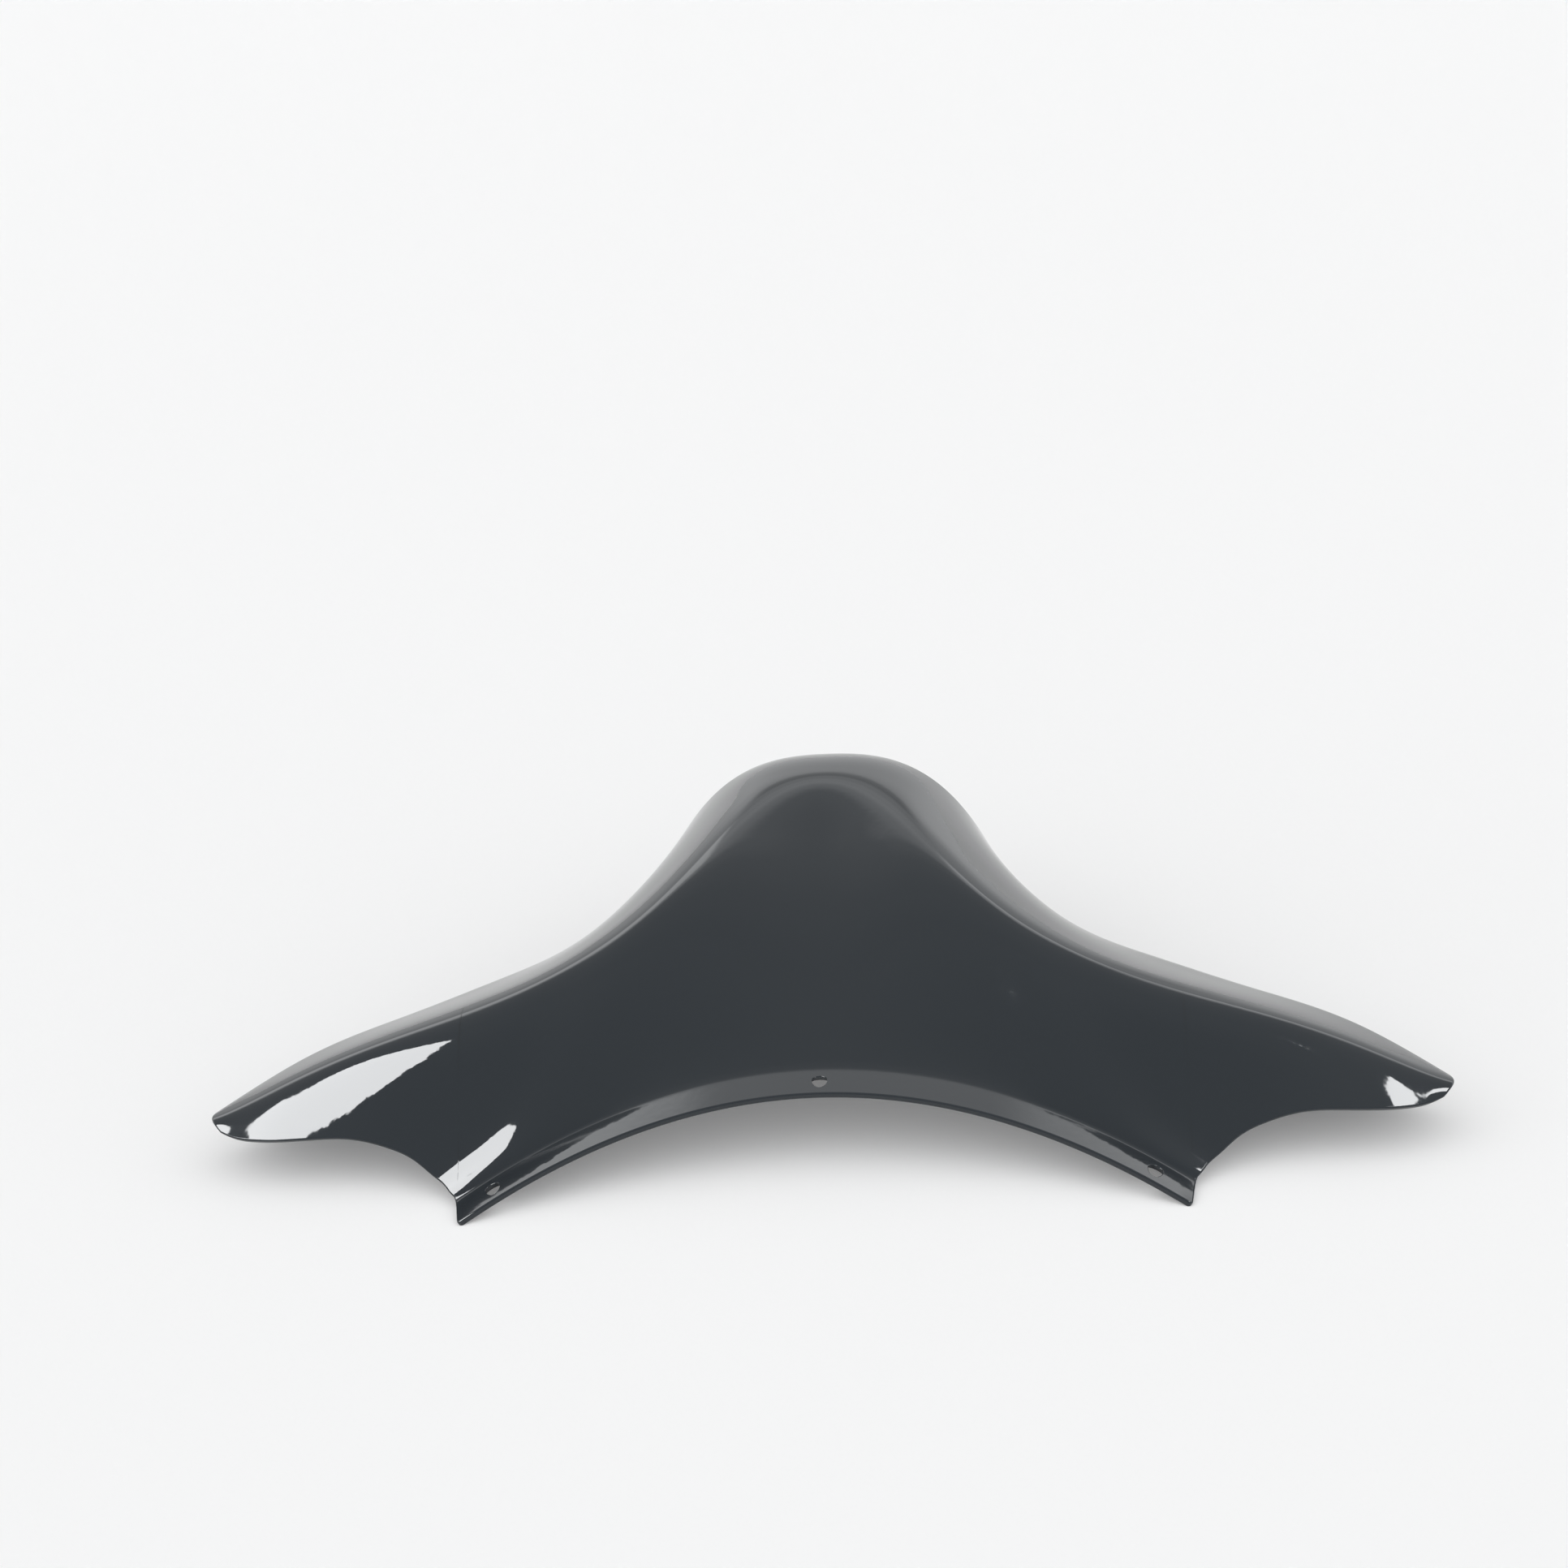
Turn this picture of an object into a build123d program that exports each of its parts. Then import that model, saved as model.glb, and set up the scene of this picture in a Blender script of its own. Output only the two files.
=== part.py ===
"""Motorcycle fairing: one moulded shell, lying face up on its two arch ends and its rear rim.

+X runs across the wings, +Y from the arch back to the dome, +Z up from the floor.
The origin lies on the floor, in the middle of the shell's box.
"""
import os
from functools import cache
from math import cos, radians, sin, tan

from build123d import *

# Sizes in mm
WIDTH = 550.0  # across the wing tips
DEPTH = 241.0  # from the arch ends back to the lip of the dome
HEIGHT = 126.0  # from the floor to the crown of the dome
WALL = 3.0  # thickness of the moulding
ARCH_SPAN = 310.0  # between the two arch ends
ARCH_DEPTH = 36.0  # the top of the arch lies this far behind its ends
ARCH_RISE = 39.5  # and this far above the floor
FLANGE_WIDTH = 17.0  # the band along the arch that takes the screws
FLANGE_TILT = 17.0  # its slope towards the front, in degrees
HOLE_DIAMETER = 6.5  # clears an M6 screw
HOLE_INSET = 8.5  # from the arch edge to the hole centres
END_HOLE_MARGIN = 12.0  # from an arch end to the hole beside it
LEG_ROUND = 1.5  # corners of the arch ends

# Guide lines of the right half, (x, y, z), drawn for a shell 550 wide, 241 deep and 126 high.
# They pull the shape like the poles of a spline, so the skin runs a little inside them.
DRAWN_ARCH_END, DRAWN_TIP, DRAWN_DEPTH, DRAWN_HEIGHT = 155.0, 275.0, 241.0, 126.0
SKIRT = [(150, 17.5, 4), (172, 9.5, -3), (200, -10.5, -3), (228, 4.5, 2), (250, 4, 4), (275, 38, 4)]
FACE = [
    (0, 106, 94), (40, 104, 102), (75, 88.5, 91), (110, 62.5, 64.5),
    (150, 31, 21.5), (195, 21, 10), (240, 30.5, 25), (275, 42.5, 23.5),
]
SLOPE = [
    (0, 152, 112.5), (40, 147, 117), (75, 110.5, 101.5), (110, 82.5, 85),
    (150, 62, 73), (195, 54.5, 59), (240, 51.5, 44), (275, 44.5, 27),
]
BROW = [
    (0, 187, 127), (40, 166.5, 120), (75, 132.5, 98.5), (110, 100, 81.5),
    (150, 81.5, 70), (195, 68, 59.5), (240, 62, 43), (275, 48.5, 29.5),
]
CROWN = [
    (0, 197, 126), (40, 193.5, 117.5), (75, 167, 95), (110, 139, 74),
    (150, 122.5, 58), (195, 105, 48.5), (240, 86.5, 38), (275, 54, 29),
]
BACK = [
    (0, 227.5, 123.5), (40, 226.5, 114.5), (75, 202, 88.5), (110, 168.5, 61),
    (150, 148.5, 50.5), (195, 124, 43), (240, 97.5, 35.5), (275, 59.5, 26.5),
]
RIM = [
    (0, 241, 118), (40, 240, 111), (75, 224.5, 81), (110, 179.5, 27.5),
    (150, 152, 4.5), (195, 126.5, 1.5), (240, 102, 3.5), (275, 65, 18),
]
# Slope of the face in degrees where it leaves the flange, gentle at the top of the arch, steep at its ends
FLARE = [(0, 30), (40, 31), (75, 32), (110, 70), (150, 82), (195, 65)]
# Lower edge of the wing seen from the front: part of the way from arch end to wing tip, and height
NOTCH = [
    (-0.03, -4), (0, 0), (0.076, 8), (0.128, 11.5), (0.193, 17), (0.293, 22.5),
    (0.435, 26.5), (0.6, 27), (0.81, 26), (0.913, 25.5), (1, 27.5),
]


def smooth_line(xs, values, flat_start=True):
    """A cubic spline through the values, level at its start where the two halves meet."""
    n = len(xs)
    h = [b - a for a, b in zip(xs, xs[1:])]
    slope = [(b - a) / step for a, b, step in zip(values, values[1:], h)]
    diag, upper, right = [1.0] * n, [0.0] * n, [0.0] * n
    if flat_start:
        diag[0], upper[0], right[0] = 2 * h[0], h[0], 6 * slope[0]
    for i in range(1, n):
        lower = h[i - 1] if i < n - 1 else 0.0
        ratio = lower / diag[i - 1]
        if i < n - 1:
            diag[i] = 2 * (h[i - 1] + h[i]) - ratio * upper[i - 1]
            upper[i] = h[i]
            right[i] = 6 * (slope[i] - slope[i - 1]) - ratio * right[i - 1]
    bend = [0.0] * n
    for i in range(n - 2, -1, -1):
        bend[i] = (right[i] - upper[i] * bend[i + 1]) / diag[i]

    def at(x):
        i = max(k for k in range(n - 1) if x >= xs[k] or k == 0)
        a, b = xs[i + 1] - x, x - xs[i]
        curve = (bend[i] * a**3 + bend[i + 1] * b**3) / (6 * h[i])
        low = values[i] / h[i] - bend[i] * h[i] / 6
        high = values[i + 1] / h[i] - bend[i + 1] * h[i] / 6
        return curve + low * a + high * b

    return at


def guide(points, flat_start=True):
    xs, ys, zs = zip(*points)
    y_at, z_at = smooth_line(xs, ys, flat_start), smooth_line(xs, zs, flat_start)
    return lambda x: Vector(0, y_at(x) * DEPTH / DRAWN_DEPTH, z_at(x) * HEIGHT / DRAWN_HEIGHT)


skirt_at = guide(SKIRT, flat_start=False)
upper_guides = [guide(points) for points in (FACE, SLOPE, BROW, CROWN, BACK, RIM)]
flare_at = smooth_line(*zip(*FLARE))

# An odd cubic carries the shell's own x to the drawn one, so that arch ends and tips stay in step
arch_end, tip = ARCH_SPAN / 2, WIDTH / 2
stretch_cubed = (DRAWN_TIP / tip - DRAWN_ARCH_END / arch_end) / (tip**2 - arch_end**2)
stretch = DRAWN_TIP / tip - stretch_cubed * tip**2


@cache
def poles(x):
    """The poles of the section across the shell at x, from the arch edge to the rear rim."""
    x = abs(x)
    drawn_x = x * (stretch + stretch_cubed * x**2)
    upper = [at(drawn_x) for at in upper_guides]
    fall = 1 - (x / arch_end) ** 2
    edge = Vector(0, ARCH_DEPTH * fall, WALL + (ARCH_RISE - WALL) * fall)
    flange = Vector(0, cos(radians(FLANGE_TILT)), sin(radians(FLANGE_TILT))) * FLANGE_WIDTH
    flare = radians(flare_at(min(drawn_x, FLARE[-1][0])))
    rise = Vector(0, cos(flare), sin(flare)) * FLANGE_WIDTH
    front = [edge, edge + flange * 0.62, edge + flange + rise * 0.3]
    # Past the arch ends the flange gives way to a plain skirt, which the notch cuts off
    share = min(max((drawn_x - 150) / 40, 0), 1)
    share = share * share * (3 - 2 * share)
    if share > 0:
        skirt = skirt_at(drawn_x)
        plain = [skirt + (upper[0] - skirt) * part for part in (0, 0.25, 0.5)]
        front = [a * (1 - share) + b * share for a, b in zip(front, plain)]
    return front + upper


def section_point(points, t):
    """A point of the clamped cubic spline of the poles, t from 0 to 1."""
    spans = len(points) - 3
    knots = [0] * 3 + list(range(spans + 1)) + [spans] * 3
    t = min(t * spans, spans - 1e-9)
    k = 3 + int(t)
    d = points[k - 3 : k + 1]
    for r in range(1, 4):
        for j in range(3, r - 1, -1):
            left, right = knots[j + k - 3], knots[j + 1 + k - r]
            a = (t - left) / (right - left)
            d[j] = d[j - 1] * (1 - a) + d[j] * a
    return d[3]


def skin(x, t):
    return section_point(poles(x), t) + Vector(x, 0, 0)


def outward(x, t):
    """The direction square to the skin, out of the face."""
    step = 1e-3
    t_low, t_high = max(t - step, 0), min(t + step, 1)
    along = skin(x, t_high) - skin(x, t_low)
    across = skin(x + step, t) - skin(x - step, t)
    return across.cross(along).normalized()


def section(x):
    """The outline of the moulding cut across at x: the skin, the rim, the inside and the arch edge."""
    points = 19
    steps = [i / (points - 1) for i in range(points)]
    outer, inner = [], []
    for t in steps:
        normal = outward(x, t)
        across = Vector(0, normal.Y, normal.Z)
        outer.append(skin(x, t))
        # A wall that leans sideways is thicker in the section, within limits at the tips
        inner.append(skin(x, t) - across.normalized() * WALL / max(across.length, 0.6))
    face = Edge.make_spline(outer, parameters=steps)
    inside = Edge.make_spline(inner[::-1], parameters=steps)
    rim, arch_edge = Edge.make_line(outer[-1], inner[-1]), Edge.make_line(inner[0], outer[0])
    return Wire([face, rim, inside, arch_edge])


def shell():
    """The untrimmed moulding, lofted from wing tip to wing tip."""
    count = 41
    # The sections lie closer together towards the tips, where the wings turn in
    spread = [2 * i / (count - 1) - 1 for i in range(count)]
    return Solid.make_loft([section(tip * (1.35 * u - 0.35 * u**3)) for u in spread])


def notch_point(u, z):
    return Vector(arch_end + u * (tip - arch_end), 0, z * HEIGHT / DRAWN_HEIGHT)


def notch(side):
    """What is cut away under one wing, seen from the front and going no further back than the hollow."""
    outline = [notch_point(u, z) for u, z in NOTCH]
    first, last = outline[0], outline[-1]
    low, beyond = -HEIGHT / 4, tip * 1.1
    rest = Polyline(last, (beyond, 0, last.Z), (beyond, 0, low), (first.X, 0, low), first)
    cutter = extrude(make_face(Spline(*outline) + rest), DEPTH, dir=(0, 1, 0))
    reach = (SKIRT[-1][1] + RIM[-1][1]) / 2 * DEPTH / DRAWN_DEPTH
    cutter = Pos(0, reach - DEPTH, 0) * cutter
    return cutter if side > 0 else mirror(cutter, Plane.YZ)


def leg_corner(body, side):
    """What is cut off the corner of one arch end to round it, through the wall."""
    leg = skin(side * arch_end, 0)
    corner = min(body.edges(), key=lambda edge: (edge @ 0.5 - leg).length + 10 * abs(edge.length - WALL))
    axis = (corner @ 1 - corner @ 0).normalized()
    notch_side = notch_point(*NOTCH[2]) - notch_point(*NOTCH[1])
    notch_side.X *= side
    back = axis.cross(notch_side.cross(Vector(0, 1, 0))).normalized()
    back = back if back.Y > 0 else -back
    inward = skin(leg.X * (1 - 2 * WALL / arch_end), 0) - leg
    inward = (inward - axis * inward.dot(axis)).normalized()
    half_angle = radians(inward.get_angle(back) / 2)
    reach = LEG_ROUND / tan(half_angle)
    chord = 0.9 * reach * cos(half_angle)
    outline = Polyline((-reach, 0), (chord, 2 * reach), (chord, -2 * reach), close=True)
    profile = make_face(outline) - Pos(LEG_ROUND / sin(half_angle), 0) * Circle(LEG_ROUND)
    return extrude(Plane(corner @ 0.5, x_dir=inward + back, z_dir=axis) * profile, 2 * WALL, both=True)


def hole(x):
    """A screw hole square through the flange."""
    t = 0
    while (skin(x, t) - skin(x, 0)).length < HOLE_INSET:
        t += 0.002
    axis = outward(x, t)
    return Plane(skin(x, t) - axis * WALL / 2, z_dir=axis) * Cylinder(HOLE_DIAMETER / 2, 4 * WALL)


body = shell()
for side in (-1, 1):
    body = body - notch(side)
    body = body - leg_corner(body, side)
for x in (0, arch_end - END_HOLE_MARGIN, END_HOLE_MARGIN - arch_end):
    body = body - hole(x)
box = body.bounding_box()
body = Pos(0, -(box.min.Y + box.max.Y) / 2, -box.min.Z) * body
os.makedirs("parts", exist_ok=True)
export_step(body, "parts/fairing_shell.step")
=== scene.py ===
"""Looks of the motorcycle fairing: a fine skin of the moulded shell in gloss black, on a pale studio floor.

The shell follows the solid's guide lines, but its flange is flatter, its fold tighter, its edges are rounded
and its face leans out a little more beside the arch ends.
Its lengths are in mm until the mesh is made, in metres.
"""

from math import radians

import bpy
import numpy as np
from mathutils import Matrix, Vector


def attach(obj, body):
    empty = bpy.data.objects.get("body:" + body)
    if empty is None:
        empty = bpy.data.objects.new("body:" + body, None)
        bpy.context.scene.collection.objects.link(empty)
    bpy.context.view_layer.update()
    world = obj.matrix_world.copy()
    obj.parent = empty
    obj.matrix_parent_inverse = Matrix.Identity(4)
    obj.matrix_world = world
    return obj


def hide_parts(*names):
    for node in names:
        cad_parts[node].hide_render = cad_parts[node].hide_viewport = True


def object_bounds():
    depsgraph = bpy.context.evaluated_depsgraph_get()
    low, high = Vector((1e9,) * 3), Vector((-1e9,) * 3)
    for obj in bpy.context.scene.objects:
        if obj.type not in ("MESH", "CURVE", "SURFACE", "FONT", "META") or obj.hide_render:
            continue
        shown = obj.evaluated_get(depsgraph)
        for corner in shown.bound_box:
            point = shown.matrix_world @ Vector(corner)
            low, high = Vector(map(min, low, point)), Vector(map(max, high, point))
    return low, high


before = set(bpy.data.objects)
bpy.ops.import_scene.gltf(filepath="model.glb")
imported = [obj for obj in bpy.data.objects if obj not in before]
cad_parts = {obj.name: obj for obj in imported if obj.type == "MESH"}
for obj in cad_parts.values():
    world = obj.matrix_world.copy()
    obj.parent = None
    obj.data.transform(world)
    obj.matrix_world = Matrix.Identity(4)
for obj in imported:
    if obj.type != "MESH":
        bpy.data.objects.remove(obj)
cad_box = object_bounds()
MM = 0.001

# Sizes of the shell in mm
WALL = 3.0
ARCH_END = 155.0
TIP = 275.0
ARCH_DEPTH = 36.0
ARCH_RISE = 39.5
FLANGE_WIDTH = 17.0
FLANGE_TILT = radians(13)
FLANGE_POLES = (0.0, 0.45, 0.85, 1.0)  # shares of the flange's width, close together at the fold
FOLD_POLES = (1.2, 6.0)  # how far the next two poles stand up from the fold
SKIRT_POLES = (0.0, 0.12, 0.24, 0.36, 0.48, 0.6)  # shares of the way from the skirt to the face
SKIRT_START, SKIRT_END = 147.0, 192.0  # where the flange gives way to a plain skirt
HOLE_RADIUS = 3.25
HOLE_INSET = 8.5
HOLE_PLACES = (0.0, 143.0, -143.0)
HOLE_ROUND = 0.4
HOLE_DRAFT = 1.2  # how much wider a hole's radius is inside the shell
EDGE_ROUND = 0.9  # rounding of the moulding's edges
LEG_ROUND = 0.008  # how softly the arch edge turns into the notch, as a share of the section
TIP_ROUND = 7.0  # how far the corners of a wing tip are drawn back
TIP_LENGTH = 22.0  # how much of the wing is drawn back with them
TIP_FULLNESS = 0.96  # at 1 the end of a tip would be half an ellipse

# Fineness of the mesh
COLUMNS, ROWS = 381, 112
CROWDED = [(ARCH_END + 5, 5.0, 6.0), (TIP, 1.5, 10.0)]  # columns stand closer here: (x, how much, spread)
SPACING_POINTS = 2001
ROW_GRADING = 0.35  # how much closer the rows stand at the arch edge
EDGE_STEPS = 4  # faces round a quarter turn of an edge
RING_STEPS, RING_GRADING = 6, 1.3  # rings of faces round a hole, closer at its rim
PATCH_SIDE, PATCH_FRONT, PATCH_BACK = 6.0, 5.2, 6.0  # how far the net is left open round a hole
TABLE_COLUMNS, TABLE_ROWS, TABLE_END = 1101, 351, 0.7  # for the start of each section
DEGREE = 3  # of the spline along a section
LAST_T = 1 - 1e-9  # just inside the end of a section
STEP_X, STEP_T, EDGE_STEP_T = 0.01, 1e-4, 5e-4  # small steps for slopes

# Guide lines of the right half: (x, y, z)
SKIRT = [(150, 17.5, 4), (172, 9.5, -3), (200, -10.5, -3), (228, 4.5, 2), (250, 4, 4), (275, 38, 4)]
FACE = [
    (0, 106, 94), (40, 104, 102), (75, 88.5, 91), (110, 62, 64.5),
    (150, 33.5, 22), (195, 21.5, 9.5), (240, 30.5, 25), (275, 42.5, 23.5),
]
SLOPE = [
    (0, 152, 112.5), (40, 147, 117), (75, 110.5, 101.5), (110, 82.5, 85),
    (150, 62, 73), (195, 54.5, 59), (240, 51.5, 44), (275, 44.5, 27),
]
BROW = [
    (0, 187, 127), (40, 166.5, 120), (75, 132.5, 98.5), (110, 100, 81.5),
    (150, 81.5, 70), (195, 68, 59.5), (240, 62, 43), (275, 48.5, 29.5),
]
CROWN = [
    (0, 197, 126), (40, 193.5, 117.5), (75, 167, 95), (110, 139, 74),
    (150, 122.5, 58), (195, 105, 48.5), (240, 86.5, 38), (275, 54, 29),
]
BACK = [
    (0, 227.5, 123.5), (40, 226.5, 114.5), (75, 202, 88.5), (110, 168.5, 61),
    (150, 148.5, 50.5), (195, 124, 43), (240, 97.5, 35.5), (275, 59.5, 26.5),
]
RIM = [
    (0, 241, 118), (40, 240, 111), (75, 224.5, 81), (110, 179.5, 27.5),
    (150, 152, 4.5), (195, 126.5, 1.5), (240, 102, 3.5), (275, 65, 18),
]
# Slope of the face where it leaves the flange: (x, degrees)
FLARE = [(0, 30), (40, 31), (75, 34), (110, 62), (150, 56), (195, 60)]
# Lower edge of the wing seen from the front: (share of the way from arch end to wing tip, height)
NOTCH = [
    (-0.03, -4), (0, 0), (0.076, 8), (0.128, 11.5), (0.193, 17), (0.293, 22.5),
    (0.435, 26.5), (0.6, 27), (0.81, 26), (0.913, 25.5), (1, 27.5),
]


def smooth_line(points, flat_start=True):
    """A cubic spline through (x, value) points, level at its start where the two halves meet."""
    xs, values = np.array(points, float).T
    n, h = len(xs), np.diff(xs)
    slope = np.diff(values) / h
    system, right = np.eye(n), np.zeros(n)
    if flat_start:
        system[0, :2] = 2 * h[0], h[0]
        right[0] = 6 * slope[0]
    for i in range(1, n - 1):
        system[i, i - 1:i + 2] = h[i - 1], 2 * (h[i - 1] + h[i]), h[i]
        right[i] = 6 * (slope[i] - slope[i - 1])
    bend = np.linalg.solve(system, right)

    def at(x):
        i = np.clip(np.searchsorted(xs, x, side="right") - 1, 0, n - 2)
        a, b = xs[i + 1] - x, x - xs[i]
        low = values[i] / h[i] - bend[i] * h[i] / 6
        high = values[i + 1] / h[i] - bend[i + 1] * h[i] / 6
        return (bend[i] * a**3 + bend[i + 1] * b**3) / (6 * h[i]) + low * a + high * b

    return at


def guide(points, flat_start=True):
    """A guide line as a function that gives (y, z) at each x."""
    y_at = smooth_line([(x, y) for x, y, z in points], flat_start)
    z_at = smooth_line([(x, z) for x, y, z in points], flat_start)
    return lambda x: np.stack([y_at(x), z_at(x)], -1)


skirt_at = guide(SKIRT, flat_start=False)
upper_guides = [guide(points) for points in (FACE, SLOPE, BROW, CROWN, BACK, RIM)]
flare_at = smooth_line(FLARE)
SPANS = len(FLANGE_POLES) + len(FOLD_POLES) + len(upper_guides) - DEGREE
notch_line = smooth_line([(ARCH_END + u * (TIP - ARCH_END), z) for u, z in NOTCH], flat_start=False)
notch_start = ARCH_END + NOTCH[0][0] * (TIP - ARCH_END)


def notch_at(x):
    """Height of the notch's outline, which falls away straight before the arch end."""
    return notch_line(np.maximum(x, notch_start)) - np.maximum(notch_start - x, 0)


def smooth_step(x, start, end):
    share = np.clip((x - start) / (end - start), 0, 1)
    return share * share * (3 - 2 * share)


def smoother_step(x, start, end):
    """Like smooth_step, with no jump in curvature at its ends."""
    share = np.clip((x - start) / (end - start), 0, 1)
    return share**3 * (10 - 15 * share + 6 * share**2)


def unit(v):
    return v / np.linalg.norm(v, axis=-1, keepdims=True)


def nearest(values, value):
    return np.abs(values - value).argmin()


def poles(x):
    """The poles (y, z) of the section at each x, from the arch edge to the rear rim."""
    x = np.abs(x)
    upper = [at(x) for at in upper_guides]
    fall = (1 - (x / ARCH_END) ** 2)[..., None]
    edge = np.array([ARCH_DEPTH, ARCH_RISE - WALL]) * fall + np.array([0, WALL])
    flange = np.array([np.cos(FLANGE_TILT), np.sin(FLANGE_TILT)]) * FLANGE_WIDTH
    slope = np.radians(flare_at(np.minimum(x, FLARE[-1][0])))
    flare = np.stack([np.cos(slope), np.sin(slope)], -1)
    front = [edge + flange * part for part in FLANGE_POLES]
    front += [edge + flange + flare * reach for reach in FOLD_POLES]
    skirt = skirt_at(np.maximum(x, SKIRT[0][0]))
    plain = [skirt + (upper[0] - skirt) * part for part in SKIRT_POLES]
    share = smoother_step(x, SKIRT_START, SKIRT_END)[..., None]
    front = [a * (1 - share) + b * share for a, b in zip(front, plain)]
    return np.stack(front + upper, -2)


def shares(t):
    """How much each pole of a section counts at t, from 0 to 1 along it."""
    knots = np.clip(np.arange(-DEGREE, SPANS + DEGREE + 1), 0, SPANS) / SPANS
    t = np.clip(t, 0, LAST_T)[..., None]
    share = ((t >= knots[:-1]) & (t < knots[1:])).astype(float)
    for degree in range(1, DEGREE + 1):
        span = knots[degree:] - knots[:-degree]
        safe = np.where(span > 0, span, 1)
        rise = (t - knots[:-degree]) / safe * (span > 0)
        fall = (knots[degree:] - t) / safe * (span > 0)
        share = rise[..., :-1] * share[..., :-1] + fall[..., 1:] * share[..., 1:]
    return share


def skin(x, t):
    yz = (shares(t)[..., None] * poles(x)).sum(-2)
    return np.concatenate([x[..., None], yz], -1)


def outward(x, t, step=1e-3):
    """The direction square to the skin, out of the face."""
    along = skin(x, np.minimum(t + step, 1)) - skin(x, np.maximum(t - step, 0))
    across = skin(x + step, t) - skin(x - step, t)
    return unit(np.cross(across, along))


# Where each section starts: at the arch edge, or at the notch past the arch ends
table_x = np.linspace(0, TIP, TABLE_COLUMNS)
table_t = np.linspace(0, TABLE_END, TABLE_ROWS)
heights = skin(*np.meshgrid(table_x, table_t, indexing="ij"))[..., 2]
front_table = []
for x, z in zip(table_x, heights):
    peak = z.argmax() + 1
    start = np.interp(notch_at(x), z[:peak], table_t[:peak]) if x > ARCH_END else -1.0
    if start <= 0:
        start = (notch_at(x) - z[0]) / (z[1] - z[0]) * table_t[1]
    front_table.append((start + np.hypot(start, LEG_ROUND)) / 2)


def front_at(x):
    return np.interp(np.abs(x), table_x, front_table)


def edge_share(x, t):
    """The part of a section that is as long as the rounding of its edge."""
    ends = skin(x, np.maximum(t - EDGE_STEP_T, 0)), skin(x, np.minimum(t + EDGE_STEP_T, 1))
    return EDGE_ROUND / np.linalg.norm(ends[1] - ends[0], axis=-1) * 2 * EDGE_STEP_T


class Shell:
    """Collects the vertices, normals and faces of the moulding."""

    def __init__(self):
        self.vertices, self.normals, self.faces, self.count = [], [], [], 0

    def add(self, points, normals):
        """Takes in points and gives the numbers of their vertices."""
        ids = np.arange(self.count, self.count + points[..., 0].size).reshape(points.shape[:-1])
        self.vertices.append(points.reshape(-1, 3))
        self.normals.append(normals.reshape(-1, 3))
        self.count += ids.size
        return ids

    def quads(self, ids, closed=False, keep=None):
        """Faces between neighbouring rows of vertex numbers."""
        if closed:
            ids = np.concatenate([ids, ids[:1]])
        cells = np.stack([ids[:-1, :-1], ids[1:, :-1], ids[1:, 1:], ids[:-1, 1:]], -1)
        cells = cells.reshape(-1, 4) if keep is None else cells[keep]
        self.faces.append(cells)

    def edge(self, top_ids, bottom_ids, points, normals, outs, radius, draft=0.0):
        """Closes the wall along a closed line with a rounded edge, set back by the draft at the bottom."""
        turn = np.linspace(0, np.pi / 2, EDGE_STEPS + 1)[1:]
        out = np.concatenate([np.sin(turn), np.sin(turn)[::-1]])[:, None]
        up = np.concatenate([np.cos(turn), -np.cos(turn)[::-1]])[:, None]
        depth = np.concatenate([1 - np.cos(turn), WALL / radius - 1 + np.cos(turn)[::-1]])[:, None]
        points, normals, outs = points[:, None], normals[:, None], outs[:, None]
        back = out - depth * draft / WALL
        rings = self.add(points + (outs * back - normals * depth) * radius, unit(outs * out + normals * up))
        ids = np.concatenate([top_ids[:, None], rings, bottom_ids[:, None]], 1)
        self.quads(ids[:, ::-1], closed=True)


shell = Shell()

# A net of columns across the shell, closer at the arch ends and tips, and rows along each section
spacing = np.linspace(0, TIP - EDGE_ROUND, SPACING_POINTS)
density = np.ones_like(spacing)
for crowd_x, extra, spread in CROWDED:
    density += extra * np.exp(-((spacing - crowd_x) / spread) ** 2)
gathered = np.concatenate([[0], np.cumsum((density[1:] + density[:-1]) / 2)])
half = np.interp(np.linspace(0, gathered[-1], COLUMNS // 2 + 1), gathered, spacing)
columns = np.concatenate([-half[:0:-1], half])
rows = np.linspace(0, 1, ROWS)
rows = rows - ROW_GRADING * (rows - rows**2)
net_x, net_s = np.meshgrid(columns, rows, indexing="ij")
corner = 1 - np.sqrt(1 - TIP_FULLNESS * (2 * net_s - 1) ** 2)
drawn = smooth_step(np.abs(net_x), TIP - TIP_LENGTH, TIP) ** 2
net_x = net_x - np.sign(net_x) * TIP_ROUND * corner * drawn
start = front_at(net_x)
start = start + edge_share(net_x, start)
end = 1 - edge_share(net_x, np.ones_like(net_x))
net_t = start + (end - start) * net_s
top = skin(net_x, net_t)
normals = outward(net_x, net_t)
top_ids, bottom_ids = shell.add(top, normals), shell.add(top - normals * WALL, -normals)


def round_trip(left, right, low, high):
    """Columns and rows of the net's points once round a rectangle of it."""
    trip = [(k, low) for k in range(left, right)] + [(right, k) for k in range(low, high)]
    trip += [(k, high) for k in range(right, left, -1)] + [(left, k) for k in range(high, low, -1)]
    return tuple(np.array(trip).T)


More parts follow.
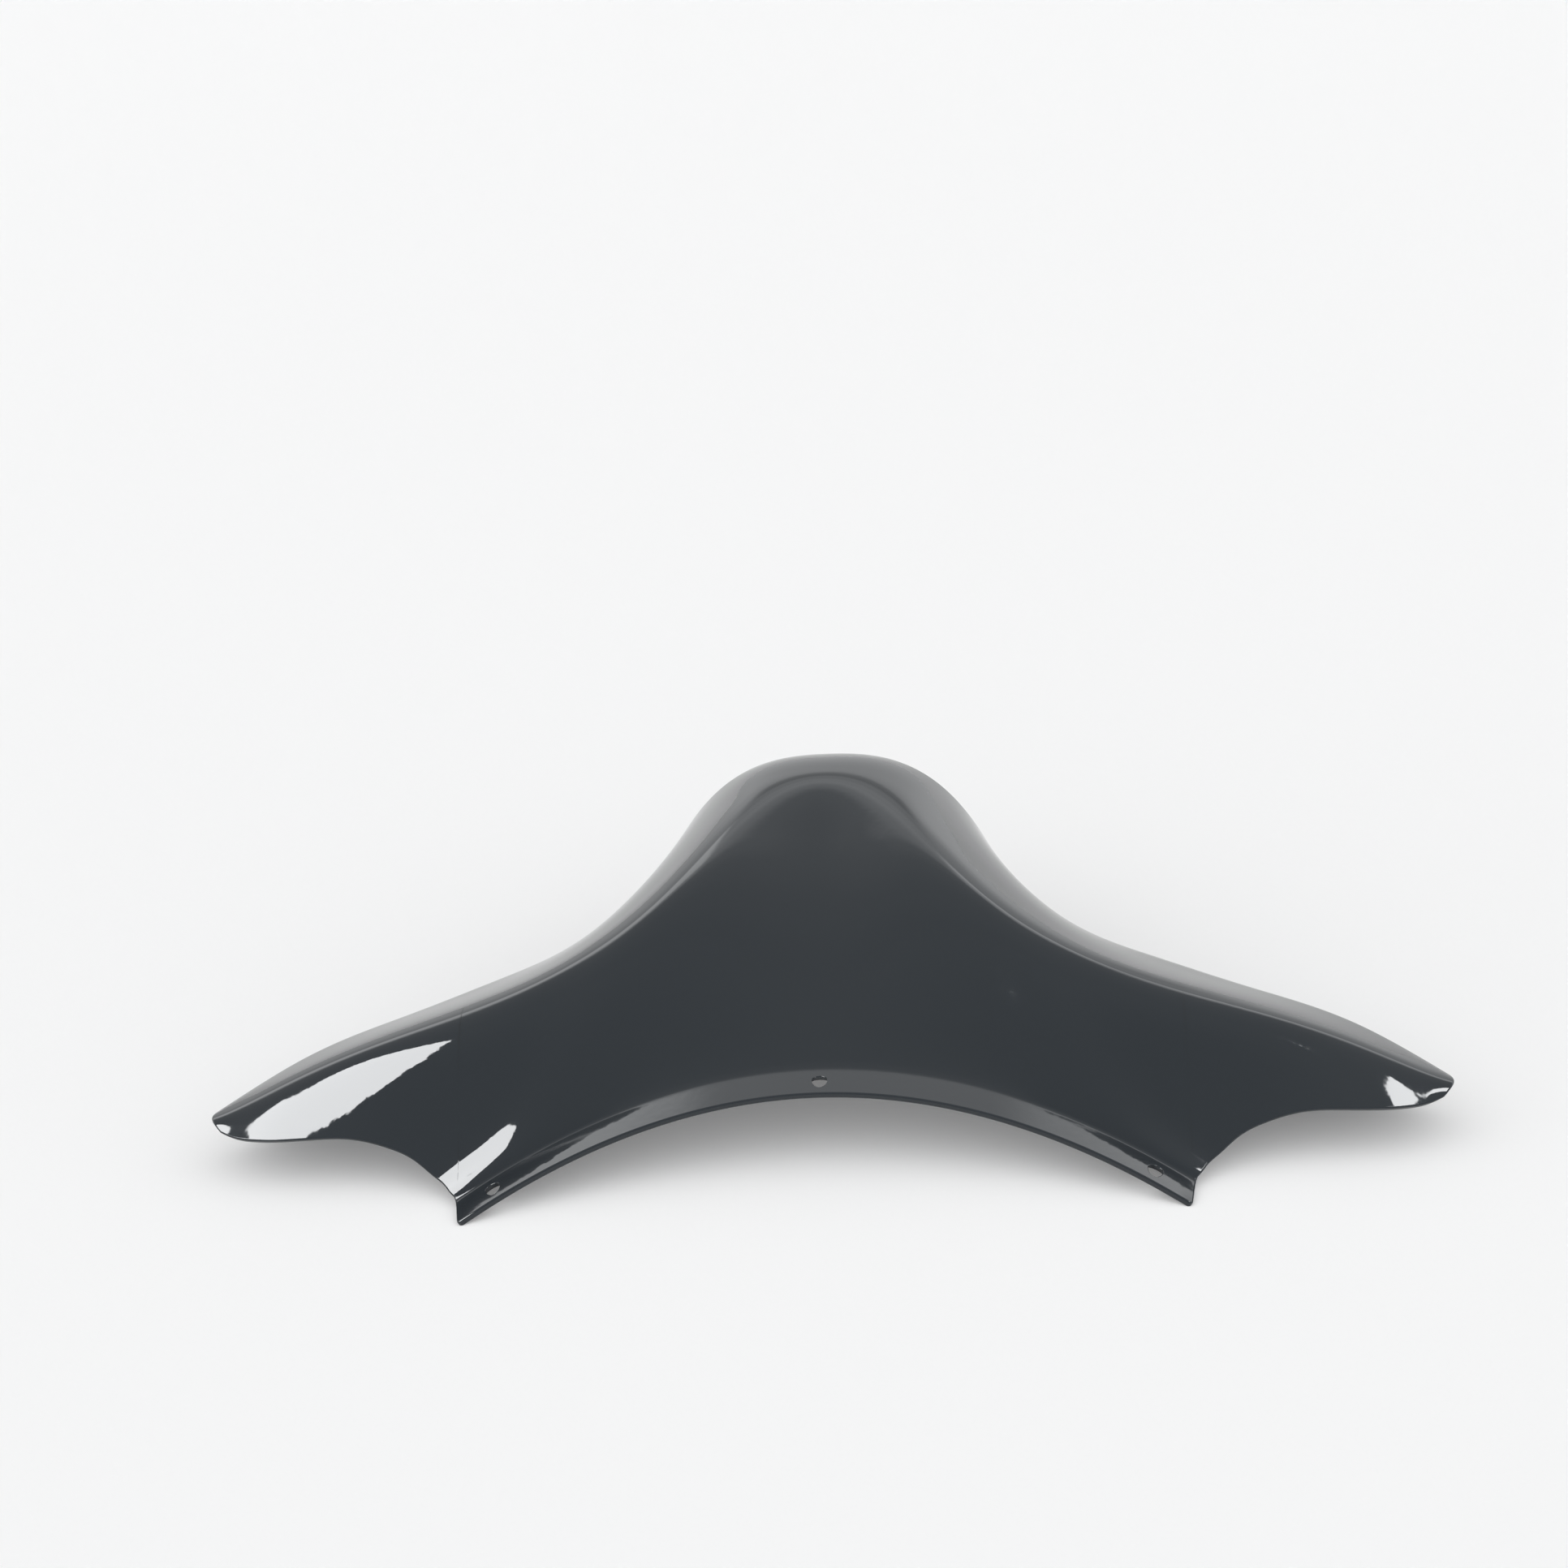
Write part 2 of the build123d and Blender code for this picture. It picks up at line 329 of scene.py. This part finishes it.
# The net is left open round each hole, and rings of faces run from the hole's rim to the opening
keep = np.ones((COLUMNS - 1, ROWS - 1), bool)
for place in HOLE_PLACES:
    i = nearest(columns, place)
    inset = np.linalg.norm(top[i] - top[i, 0], axis=-1) + EDGE_ROUND
    left, right = nearest(columns, place - PATCH_SIDE), nearest(columns, place + PATCH_SIDE)
    low, high = nearest(inset, HOLE_INSET - PATCH_FRONT), nearest(inset, HOLE_INSET + PATCH_BACK)
    keep[left:right, low:high] = False
    loop = round_trip(left, right, low, high)
    centre_x, centre_t = np.array(place), np.interp(HOLE_INSET, inset, net_t[i])
    across = (skin(centre_x + STEP_X, centre_t) - skin(centre_x - STEP_X, centre_t)) / (2 * STEP_X)
    along = (skin(centre_x, centre_t + STEP_T) - skin(centre_x, centre_t - STEP_T)) / (2 * STEP_T)
    axis = outward(centre_x, centre_t)
    side = unit(np.cross(along, axis))
    ahead = np.cross(axis, side)
    spokes = top[loop] - skin(centre_x, centre_t)
    angle = np.arctan2(spokes @ ahead, spokes @ side)
    rim = np.cos(angle)[:, None] * side + np.sin(angle)[:, None] * ahead
    to_plane = np.array([[across @ side, along @ side], [across @ ahead, along @ ahead]])
    circle = np.linalg.solve(to_plane, np.stack([np.cos(angle), np.sin(angle)]))[..., None]
    ring = np.linspace(0, 1, RING_STEPS + 1)[None, :-1] ** RING_GRADING
    rings = []
    for radius in (HOLE_RADIUS + HOLE_ROUND, HOLE_RADIUS + HOLE_ROUND + HOLE_DRAFT):
        ring_x = (centre_x + circle[0] * radius) * (1 - ring) + net_x[loop][:, None] * ring
        ring_t = (centre_t + circle[1] * radius) * (1 - ring) + net_t[loop][:, None] * ring
        rings.append((skin(ring_x, ring_t), outward(ring_x, ring_t)))
    (ring_top, ring_normals), (ring_bottom, inside_normals) = rings
    ring_top_ids = shell.add(ring_top, ring_normals)
    ring_bottom_ids = shell.add(ring_bottom - inside_normals * WALL, -inside_normals)
    shell.quads(np.concatenate([ring_top_ids, top_ids[loop][:, None]], 1)[:, ::-1], closed=True)
    shell.quads(np.concatenate([ring_bottom_ids, bottom_ids[loop][:, None]], 1), closed=True)
    shell.edge(
        ring_top_ids[::-1, 0], ring_bottom_ids[::-1, 0], ring_top[::-1, 0], ring_normals[::-1, 0],
        -rim[::-1], HOLE_ROUND, HOLE_DRAFT,
    )

shell.quads(top_ids, keep=keep)
shell.quads(bottom_ids[:, ::-1], keep=keep[:, ::-1])

# The outer edge, once round the shell
border = round_trip(0, COLUMNS - 1, 0, ROWS - 1)
tangent = unit(np.roll(top[border], -1, 0) - np.roll(top[border], 1, 0))
border_outs = unit(np.cross(tangent, normals[border]))
shell.edge(top_ids[border], bottom_ids[border], top[border], normals[border], border_outs, EDGE_ROUND)

# The mesh, with the lip of the dome and the brow where the solid has them
points = np.concatenate(shell.vertices) * MM
points += np.array([0, cad_box[1][1] - points[:, 1].max(), cad_box[1][2] - points[:, 2].max()])
mesh = bpy.data.meshes.new("fairing_skin")
mesh.from_pydata(points.tolist(), [], np.concatenate(shell.faces).tolist())
mesh.shade_smooth()
mesh.normals_split_custom_set_from_vertices(np.concatenate(shell.normals).tolist())
fairing = bpy.data.objects.new("fairing_skin", mesh)
bpy.context.scene.collection.objects.link(fairing)


# The helpers below work in the node tree that nodes and links belong to at the time

def new_material(name):
    material = bpy.data.materials.new(name)
    material.use_nodes = True
    tree = material.node_tree
    return material, tree.nodes, tree.links, tree.nodes["Principled BSDF"]


def feed(socket, value):
    """Sets a socket to a number, or links another node to it."""
    if isinstance(value, (int, float)):
        socket.default_value = value
    else:
        links.new(value, socket)


def calc(operation, *values):
    node = nodes.new("ShaderNodeMath")
    node.operation = operation
    for socket, value in zip(node.inputs, values):
        feed(socket, value)
    return node.outputs[0]


def fade(value, start, end, low, high):
    """Goes smoothly from low to high as the value goes from start to end."""
    node = nodes.new("ShaderNodeMapRange")
    node.interpolation_type = "SMOOTHSTEP"
    inputs = {"Value": value, "From Min": start, "From Max": end, "To Min": low, "To Max": high}
    for name, setting in inputs.items():
        feed(node.inputs[name], setting)
    return node.outputs["Result"]


def mix(share, low, high):
    return fade(share, 0.0, 1.0, low, high)


def noise(place, scale, detail):
    node = nodes.new("ShaderNodeTexNoise")
    node.inputs["Scale"].default_value = scale
    node.inputs["Detail"].default_value = detail
    links.new(place, node.inputs["Vector"])
    return node.outputs["Fac"]


def rays(*kinds):
    """1 for rays of these kinds, 0 for others."""
    path = nodes.new("ShaderNodeLightPath")
    share = path.outputs[f"Is {kinds[0]} Ray"]
    for kind in kinds[1:]:
        share = calc("MAXIMUM", share, path.outputs[f"Is {kind} Ray"])
    return share


# Gloss black lacquer with the faint waviness of a moulded surface, cloudy patches in its polish and a few
# specks of dust
LACQUER_BLACK, DUST_GREY = (0.0085, 0.0125, 0.0165, 1), (0.1, 0.1, 0.1, 1)
CLEAR_ROUGHNESS, CLOUDY_ROUGHNESS, DUST_ROUGHNESS = 0.02, 0.045, 0.5
SPECK_CELLS = 55  # per metre, with a speck in the middle of some
PEEL_STRENGTH, PEEL_DEPTH = 0.15, 0.0001
material, nodes, links, shader = new_material("gloss_black")
place = nodes.new("ShaderNodeTexCoord").outputs["Object"]
cells = nodes.new("ShaderNodeTexVoronoi")
cells.inputs["Scale"].default_value = SPECK_CELLS
links.new(place, cells.inputs["Vector"])
dot = fade(cells.outputs["Distance"], start=0.008, end=0.016, low=1, high=0)
dusty_patch = fade(noise(place, scale=30, detail=0), start=0.55, end=0.6, low=0, high=1)
speck = calc("MULTIPLY", dot, dusty_patch)
dusty = nodes.new("ShaderNodeMix")
dusty.data_type = "RGBA"
links.new(speck, dusty.inputs["Factor"])
dusty.inputs["A"].default_value = LACQUER_BLACK
dusty.inputs["B"].default_value = DUST_GREY
links.new(dusty.outputs["Result"], shader.inputs["Base Color"])
clouds = noise(place, scale=16, detail=4)
polish = fade(clouds, start=0.3, end=0.7, low=CLEAR_ROUGHNESS, high=CLOUDY_ROUGHNESS)
links.new(mix(speck, polish, DUST_ROUGHNESS), shader.inputs["Roughness"])
shader.inputs["IOR"].default_value = 1.5
peel = nodes.new("ShaderNodeBump")
peel.inputs["Strength"].default_value = PEEL_STRENGTH
peel.inputs["Distance"].default_value = PEEL_DEPTH
links.new(noise(place, scale=240, detail=1), peel.inputs["Height"])
links.new(peel.outputs["Normal"], shader.inputs["Normal"])
mesh.materials.append(material)

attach(fairing, "root")
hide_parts("fairing_shell")

# Floor, a little of its white its own so that shadows stay pale
FLOOR_SIZE, FLOOR_GLOW = 40, 0.13
FLOOR_WHITE = (0.83, 0.825, 0.82, 1)
bpy.ops.mesh.primitive_plane_add(size=FLOOR_SIZE)
floor = bpy.context.object
floor.name = "floor"
material, nodes, links, shader = new_material("floor_white")
shader.inputs["Base Color"].default_value = FLOOR_WHITE
shader.inputs["Roughness"].default_value = 0.9
shader.inputs["Specular IOR Level"].default_value = 0.2
shader.inputs["Emission Color"].default_value = (1, 1, 1, 1)
links.new(calc("MULTIPLY", rays("Camera", "Glossy"), FLOOR_GLOW), shader.inputs["Emission Strength"])
floor.data.materials.append(material)

# The studio. The lacquer mirrors a room with a pale backdrop, a strip of light above it, a dimmer ceiling and
# two lamps. Matt surfaces are lit by a plain gradient from front to back, and the camera sees plain white.
TOP_LEVEL = 4.0  # the light that white stands for in a ramp
LAMP_LIGHT = 17.0
LAMP_EDGE = 0.5  # degrees over which a lamp's side fades
LAMP_FIELD = 0.1  # how far a direction has to point towards a lamp to meet it
TORN_SCALE, TORN_DETAIL = 26.0, 4  # of the noise that tears a lamp's side
FRONT_LIGHT, BACK_LIGHT, LIGHT_TURN = 1.7, 0.2, 0.6
BACKDROP = 0.93
ROOM_TINT = (0.99, 1, 1.01, 1)
world = bpy.data.worlds.new("studio")
bpy.context.scene.world = world
world.use_nodes = True
nodes, links = world.node_tree.nodes, world.node_tree.links
direction = nodes.new("ShaderNodeTexCoord").outputs["Generated"]


def toward(vector):
    """How far a direction in the room points along a vector."""
    node = nodes.new("ShaderNodeVectorMath")
    node.operation = "DOT_PRODUCT"
    links.new(direction, node.inputs[0])
    node.inputs[1].default_value = vector
    return node.outputs["Value"]


aside, backward = toward((1, 0, 0)), toward((0, 1, 0))
over = calc("ARCTAN2", toward((0, 0, 1)), backward)


def lamp(azimuth, elevation, sides):
    """1 inside a lamp with straight sides, 0 outside.

    A side faces so many degrees round from the right, lies so many degrees from the lamp's middle and is
    torn by so many.
    """
    azimuth, elevation = radians(azimuth), radians(elevation)
    level = np.cos(elevation)
    middle = Vector((np.sin(azimuth) * level, -np.cos(azimuth) * level, np.sin(elevation)))
    right = Vector((np.cos(azimuth), np.sin(azimuth), 0))
    up = middle.cross(right)
    ahead = toward(middle)
    inside = calc("GREATER_THAN", ahead, LAMP_FIELD)
    for facing, distance, torn in sides:
        out = right * np.cos(radians(facing)) + up * np.sin(radians(facing))
        reach = calc("ARCTAN2", toward(out), ahead)
        if torn:
            tear = calc("SUBTRACT", noise(direction, TORN_SCALE, TORN_DETAIL), 0.5)
            reach = calc("ADD", reach, calc("MULTIPLY", tear, radians(torn)))
        within = fade(reach, radians(distance - LAMP_EDGE), radians(distance), low=1, high=0)
        inside = calc("MULTIPLY", inside, within)
    return inside


def profile(levels):
    """The light by the angle from the back wall over the zenith to the front: (degrees, level) points."""
    node = nodes.new("ShaderNodeValToRGB")
    node.color_ramp.interpolation = "EASE"
    stops = node.color_ramp.elements
    for degrees, level in levels:
        stop = stops.new(degrees / 180) if degrees else stops[0]
        grey = level / TOP_LEVEL
        stop.color = (grey, grey, grey, 1)
    stops[len(stops) - 1].color = stop.color
    links.new(calc("DIVIDE", over, np.pi), node.inputs["Fac"])
    return calc("MULTIPLY", node.outputs["Color"], TOP_LEVEL)


ceiling = [(70, 0.92), (92, 0.85), (112, 0.78), (145, 0.64)]
middle_wall = [
    (0, 0.9), (14, 0.9), (19, 0.65), (24, 0.65), (34, 1.15), (44, 1.65), (49, 1.9), (55, 1.6), (61, 1.05),
]
left_wall = [(0, 0.8), (8, 1.0), (20, 1.3), (36, 1.5), (41, 3.2), (50, 3.4), (56, 1.8), (62, 0.95)]
right_wall = [(0, 1.05), (8, 1.2), (20, 1.3), (43, 1.6), (48, 3.4), (54, 2.4), (61, 0.95)]
middle_room = profile(middle_wall + ceiling)
left_room = profile(left_wall + ceiling)
right_room = profile(right_wall + ceiling)
leftness = fade(aside, start=-0.2, end=-0.34, low=0, high=1)
rightness = fade(aside, start=0.2, end=0.36, low=0, high=1)
room = mix(leftness, mix(rightness, middle_room, right_room), left_room)
left_lamp = lamp(-50, 40, [(0, 15.8, 2), (30, 18.7, 4), (90, 20, 0), (180, 20.5, 0), (270, 12, 0)])
right_lamp = lamp(64, 54, [(0, 7, 0), (90, 5.7, 1), (180, 11, 4), (270, 8, 0)])
lamps = calc("ADD", left_lamp, right_lamp)
mirrored = calc("ADD", room, calc("MULTIPLY", lamps, LAMP_LIGHT))
light = fade(backward, start=-LIGHT_TURN, end=LIGHT_TURN, low=FRONT_LIGHT, high=BACK_LIGHT)
strength = mix(rays("Camera", "Transmission"), mix(rays("Glossy"), light, mirrored), BACKDROP)
nodes["Background"].inputs["Color"].default_value = ROOM_TINT
links.new(strength, nodes["Background"].inputs["Strength"])

# Camera at the photograph's view: its pixels per unit of slope, its place in metres and its turn
IMAGE_SIZE, FOCAL_PIXELS, SENSOR_WIDTH = 1932, 3000, 36
CAMERA_PLACE = (0.0671, -1.01028, 0.56095)
yaw, pitch, roll = radians(-4.5), radians(22), radians(-3.95)
camera_data = bpy.data.cameras.new("camera")
camera_data.sensor_width = SENSOR_WIDTH
camera_data.lens = FOCAL_PIXELS / IMAGE_SIZE * SENSOR_WIDTH
camera = bpy.data.objects.new("camera", camera_data)
bpy.context.scene.collection.objects.link(camera)
bpy.context.scene.camera = camera
view_ahead = Vector((np.sin(yaw) * np.cos(pitch), np.cos(yaw) * np.cos(pitch), -np.sin(pitch)))
level = Vector((np.cos(yaw), -np.sin(yaw), 0))
rise = level.cross(view_ahead)
view_right = level * np.cos(roll) + rise * np.sin(roll)
view_up = rise * np.cos(roll) - level * np.sin(roll)
view_turn = Matrix((view_right, view_up, -view_ahead)).transposed().to_4x4()
camera.matrix_world = Matrix.Translation(CAMERA_PLACE) @ view_turn

bpy.context.scene.view_settings.view_transform = "Standard"
